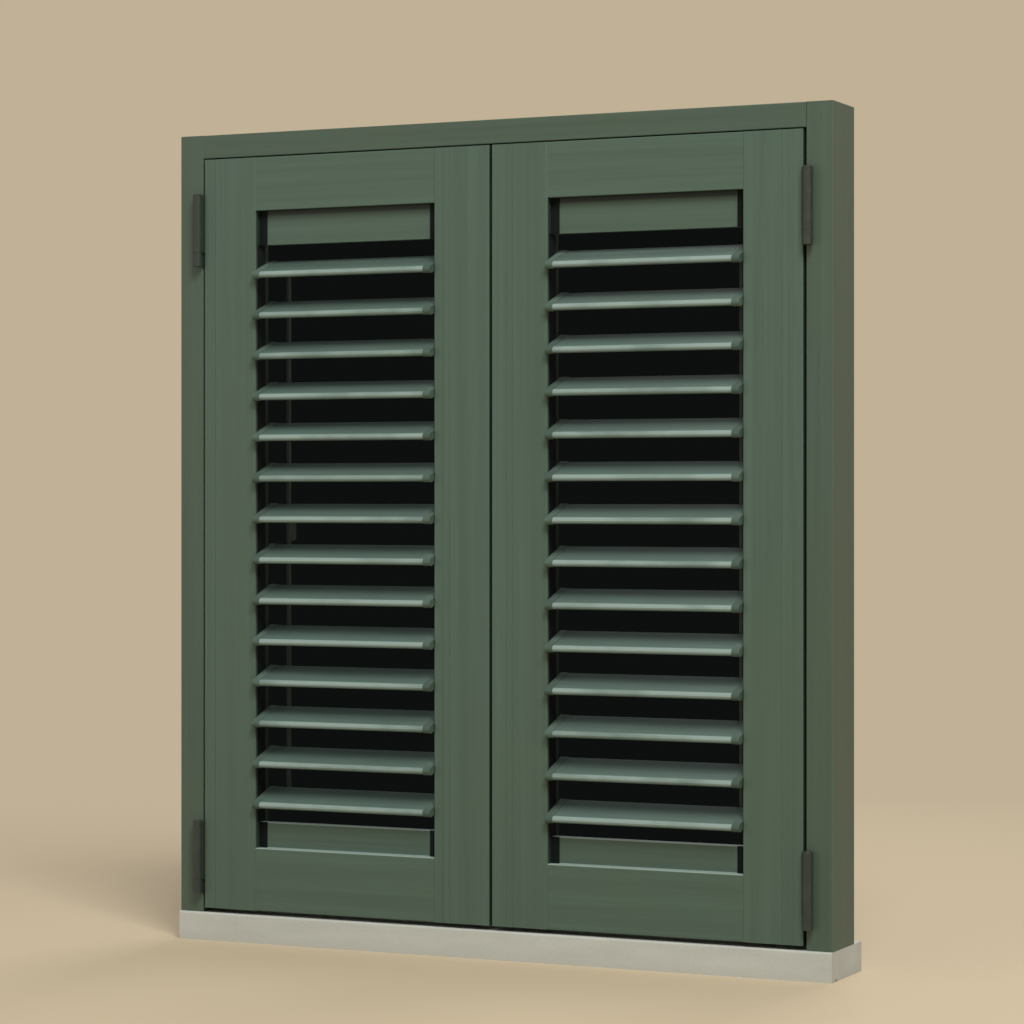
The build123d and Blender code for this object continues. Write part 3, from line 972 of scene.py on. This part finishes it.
@dataclass
class LeafDress:
    """One leaf: stiles, rails, boards, carriers, straps, slats and tilt rod.

    Attributes:
        side: The leaf.
        palette: The finishes.
        caps: The maker of end caps.
        margins: The maker of the near-black strips that paint shade beside the boards.
        pivots: A point on each slat's axis, by the slat's name.
        rail_setback: How far the rails lie behind the stiles' faces.
    """

    side: Side
    palette: Palette
    caps: EndCaps
    margins: BoardShadeStrips
    pivots: dict[str, Point]
    rail_setback: float = 0.001

    def dress(self, nodes: dict[str, bpy.types.Object]) -> None:
        """Gives every member of the leaf its finish.

        Args:
            nodes: The solids by name.
        """
        word = self.side.word
        upright, level = self._timber()
        for name in ("hinge_stile", "meeting_stile"):
            coat(nodes[f"{name}_{word}"], self.palette.get(upright))
        for name in ("top_rail", "bottom_rail", "top_board", "bottom_board"):
            coat(nodes[f"{name}_{word}"], self.palette.get(level))
        coat(nodes[f"slat_carriers_{word}"], self.palette.get(CARRIER_NYLON_AND_SHADE))
        coat(nodes[f"hinge_straps_{word}"], self.palette.get(HINGE_PAINT))
        coat(nodes[f"tilt_rod_{word}"], self.palette.get(ROD_METAL))
        self._fit_margins()
        paint = self._slat_paint()
        slats = sorted(name for name in nodes if name.startswith(f"slat_{word}_"))
        for name in slats:
            coat(nodes[name], self.palette.get(paint))
            self.caps.fit(name, self.pivots[name])
        log.info("leaf %s: %d slats with their caps", word, len(slats))

    def _timber(self) -> tuple[TimberPaint, TimberPaint]:
        """The paint of the upright members and that of the level ones.

        Returns:
            Both finishes.
        """
        word = self.side.word
        low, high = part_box(f"hinge_stile_{word}")
        ledges = tuple(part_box(f"{name}_{word}")[1].z for name in ("bottom_rail", "bottom_board"))
        shaded_corners = (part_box(f"top_rail_{word}")[0].z,)
        upright = TimberPaint("leaf_paint_upright", LEAF_GREEN, Grain.UPRIGHT, low.y, high.y, shaded_rebates=True)
        level = TimberPaint("leaf_paint_level", LEAF_GREEN, Grain.LEVEL, low.y + self.rail_setback, high.y,
                            ledges, shaded_corners)
        return upright, level

    def _fit_margins(self) -> None:
        """Puts the painted-shade strips between the boards' ends and the stiles."""
        stiles = [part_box(f"{name}_{self.side.word}") for name in ("hinge_stile", "meeting_stile")]
        left, right = sorted(stiles, key=lambda box: box[0].x)
        for board in ("top_board", "bottom_board"):
            self.margins.fit(board, self.side, left[1].x, right[0].x)

    def _slat_paint(self) -> SlatPaint:
        """The slats' finish, which follows their section at their pitch.

        Returns:
            The finish.
        """
        first, second = self.pivots["slat_left_01"], self.pivots["slat_left_02"]
        return SlatPaint("slat_paint", SLAT_GREEN, RUBBED_HIGHLIGHT_GREEN, first[1], first[2], first[2] - second[2])


@dataclass
class Ironmongery:
    """The slide bolts, their guides, the turn catch and its keeper.

    Attributes:
        palette: The finishes.
        screws: The maker of screw heads.
        guide_length: The length of a bolt's guide plate.
        guide_head: The diameter of its screw heads.
        end_inset: How far the screws are from the plate's ends.
        side_inset: How far the screws are from its sides.
        plate: The plate's thickness.
    """

    palette: Palette
    screws: ScrewHeads
    guide_length: float = 0.110
    guide_head: float = 0.0048
    end_inset: float = 0.028
    side_inset: float = 0.0035
    plate: float = 0.002

    def dress(self, nodes: dict[str, bpy.types.Object]) -> None:
        """Gives the ironmongery its finish and its screws.

        Args:
            nodes: The solids by name.
        """
        for name in ("bolt_guides", "catch_keeper", "top_bolt", "bottom_bolt", "turn_catch"):
            coat(nodes[name], self.palette.get(BOLT_PAINT))
        self.screws.drive("guide_screws", "leaf_left", self._guide_screws(), self.guide_head)

    def _guide_screws(self) -> list[Fastener]:
        """Four screws in each bolt's guide plate.

        Returns:
            The screws.
        """
        low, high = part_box("bolt_guides")
        found = []
        for base in (low.z, high.z - self.guide_length):
            for z in (base + self.end_inset, base + self.guide_length - self.end_inset):
                for x in (low.x + self.side_inset, high.x - self.side_inset):
                    found.append(Fastener((x, low.y + self.plate, z), (0, 1, 0)))
        return found


@dataclass
class Stage:
    """Floor, world and a black card that paints the shade of the unlit room behind the shutters.

    Attributes:
        backdrop: The background's colour.
        floor_gain: How much lighter the floor's own colour is, so that it shows as the backdrop does.
        sky: The colour of the world's light.
        sky_strength: Its strength.
        dark: The colour of the painted shade of the unlit room.
        floor_radius: The floor's radius.
        floor_sides: The floor's edges.
        fade_start: The distance at which the floor starts to turn into the backdrop.
        fade_end: The distance at which it has done so.
        card_gap: How far the dark card is behind the frame.
        card_side: How far its sides are inside the frame's.
        card_head: How far its top is below the frame's.
        card_foot: How far its foot is below the sill's top.
    """

    backdrop: Colour = (0.533, 0.440, 0.305)
    floor_gain: float = 1.12
    sky: Colour = (1.0, 0.98, 0.95)
    sky_strength: float = 0.325
    dark: Colour = (0.004, 0.005, 0.0045)
    floor_radius: float = 30.0
    floor_sides: int = 96
    fade_start: float = 0.8
    fade_end: float = 2.6
    card_gap: float = 0.004
    card_side: float = 0.03
    card_head: float = 0.02
    card_foot: float = 0.01

    def build(self) -> None:
        """Makes the world, the floor and the dark card."""
        self._world()
        self._floor()
        self._dark_card()

    def _world(self) -> None:
        """A plain world that lights softly and shows the backdrop's colour behind the object."""
        world = bpy.data.worlds.new("studio")
        bpy.context.scene.world = world
        world.use_nodes = True
        bench = NodeBench(world.node_tree)
        light = bench.add("ShaderNodeBackground", None,
                          {"Color": (*self.sky, 1.0), "Strength": self.sky_strength})
        seen = bench.add("ShaderNodeBackground", None, {"Color": (*self.backdrop, 1.0)})
        output = bench.tree.nodes.new("ShaderNodeOutputWorld")
        bench.feed(output.inputs["Surface"], bench.mix(bench.background_rays(), light, seen))

    def _floor(self) -> None:
        """A round floor that takes the shadow near the sill and fades into the backdrop."""
        mesh = bpy.data.meshes.new("floor")
        form = bmesh.new()
        bmesh.ops.create_circle(form, cap_ends=True, radius=self.floor_radius, segments=self.floor_sides)
        form.to_mesh(mesh)
        form.free()
        bench = Bench("floor_paper")
        x, y, _ = bench.axes()
        far = (x * x + y * y).above(self.fade_start ** 2, self.fade_end ** 2)
        bench.shader.inputs["Base Color"].default_value = (*shade(self.backdrop, self.floor_gain), 1.0)
        bench.shader.inputs["Roughness"].default_value = 0.95
        paper = Sock(bench, bench.shader.outputs["BSDF"])
        glow = bench.add("ShaderNodeEmission", None, {"Color": (*self.backdrop, 1.0)})
        bench.surface(bench.mix(far * bench.background_rays(), paper, glow))
        self._set_up("floor", mesh, bench.material)

    def _dark_card(self) -> None:
        """A card in the opening's back, seen only from outside and casting no shadow, that paints the shade
        of an unlit room.
        """
        low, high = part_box("jamb_left")
        y = high.y + self.card_gap
        left, right = low.x + self.card_side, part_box("jamb_right")[1].x - self.card_side
        foot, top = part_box("sill")[1].z - self.card_foot, high.z - self.card_head
        mesh = bpy.data.meshes.new("dark_room")
        corners = [(left, y, foot), (right, y, foot), (right, y, top), (left, y, top)]
        mesh.from_pydata(corners, [], [(0, 1, 2, 3)])
        bench = Bench("dark_room")
        # Painted shade: black seen only by camera, glossy and transmission rays, casting no shadow.
        black = bench.add("ShaderNodeEmission", None, {"Color": (*self.dark, 1.0)})
        clear = bench.add("ShaderNodeBsdfTransparent")
        outside = 1.0 - bench.add("ShaderNodeNewGeometry", out="Backfacing")
        bench.surface(bench.mix(outside * bench.background_rays(), clear, black))
        self._set_up("dark_room", mesh, bench.material).visible_shadow = False

    def _set_up(self, name: str, mesh: bpy.types.Mesh, material: bpy.types.Material) -> bpy.types.Object:
        """Puts a stage piece in the scene.

        Args:
            name: The piece's name.
            mesh: Its mesh.
            material: Its finish.

        Returns:
            The piece.
        """
        piece = bpy.data.objects.new(name, mesh)
        bpy.context.scene.collection.objects.link(piece)
        coat(piece, material)
        return piece


@dataclass(frozen=True)
class Lamp:
    """One square lamp.

    Attributes:
        name: The lamp's name.
        place: Where it hangs.
        size: The square's side.
        watts: Its power.
        colour: Its colour.
    """

    name: str
    place: Point
    size: float
    watts: float
    colour: Colour

    def build(self, aim: Vector) -> None:
        """Hangs the lamp so that it faces a point.

        Args:
            aim: The point.
        """
        data = bpy.data.lights.new(self.name, "AREA")
        data.size = self.size
        data.energy = self.watts
        data.color = self.colour
        lamp = bpy.data.objects.new(self.name, data)
        lamp.location = self.place
        lamp.rotation_euler = (aim - Vector(self.place)).to_track_quat("-Z", "Y").to_euler()
        bpy.context.scene.collection.objects.link(lamp)
        log.info("lamp %s: %.0f W", self.name, self.watts)


@dataclass
class Lights:
    """A broad key from the upper right in front, a weak fill from the left and a lamp for the back."""

    aim: Point = (0.0, 0.0, 0.65)
    lamps: tuple[Lamp, ...] = (
        Lamp("key", (2.6, -3.4, 5.3), 2.4, 322.0, (1.0, 0.98, 0.94)),
        Lamp("fill", (-3.2, -3.6, 1.2), 2.5, 22.0, (0.95, 0.98, 1.0)),
        Lamp("back", (0.0, 4.4, 3.4), 2.5, 80.0, (1.0, 1.0, 1.0)),
    )

    def build(self) -> None:
        """Makes the lamps."""
        for lamp in self.lamps:
            lamp.build(Vector(self.aim))


@dataclass
class PhotoCamera:
    """A level camera at the photograph's viewing angle, worked out from the frame's outline in it.

    Attributes:
        yaw_deg: How far the camera is turned to the left of square.
        focal_px: The focal length in the photograph's pixels.
        horizon_px: The row of the horizon.
        corner_px: Where the frame's upper left corner is.
        corner_depth: How far that corner is from the camera, along its axis.
        sensor_mm: The sensor's width.
        reach: How far the camera sees.
    """

    yaw_deg: float = 24.94
    focal_px: float = 3102.0
    horizon_px: float = 497.0
    corner_px: tuple[float, float] = (181.0, 137.0)
    corner_depth: float = 4.815
    sensor_mm: float = 36.0
    reach: float = 200.0

    def build(self) -> None:
        """Sets the camera up."""
        low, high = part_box("jamb_left")
        corner = Vector((low.x, low.y, high.z))
        yaw = math.radians(self.yaw_deg)
        forward = Vector((-math.sin(yaw), math.cos(yaw), 0.0))
        right = Vector((math.cos(yaw), math.sin(yaw), 0.0))
        metres_per_px = self.corner_depth / self.focal_px
        aside = (self.corner_px[0] - PHOTO_SIDE_PX / 2) * metres_per_px
        place = corner - right * aside - forward * self.corner_depth
        place.z = corner.z - (self.horizon_px - self.corner_px[1]) * metres_per_px
        data = bpy.data.cameras.new("photo")
        data.sensor_fit = "HORIZONTAL"
        data.sensor_width = self.sensor_mm
        data.lens = self.focal_px / PHOTO_SIDE_PX * self.sensor_mm
        data.shift_y = (self.horizon_px - PHOTO_SIDE_PX / 2) / PHOTO_SIDE_PX
        data.clip_end = self.reach
        camera = bpy.data.objects.new("photo", data)
        camera.location = place
        camera.rotation_euler = (math.pi / 2, 0.0, yaw)
        bpy.context.scene.collection.objects.link(camera)
        bpy.context.scene.camera = camera
        log.info("camera at %s, lens %.1f mm", tuple(round(value, 3) for value in place), data.lens)


def main() -> None:
    """Builds everything in order."""
    logging.basicConfig(level=logging.INFO, format="%(name)s: %(message)s")
    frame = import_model()
    nodes = frame["nodes"]
    bpy.context.scene.view_settings.view_transform = "Standard"
    palette = Palette()
    screws = ScrewHeads(palette)
    FrameDress(palette, screws).dress(nodes)
    caps = EndCaps(palette)
    margins = BoardShadeStrips(palette)
    joints = frame["record"]["behaviour"]["joints"]
    pivots = {joint["child"]: joint["pos_m"] for joint in joints if joint["child"].startswith("slat_")}
    for side in Side:
        LeafDress(side, palette, caps, margins, pivots).dress(nodes)
    Ironmongery(palette, screws).dress(nodes)
    Stage().build()
    Lights().build()
    PhotoCamera().build()


if __name__ == "__main__":
    main()
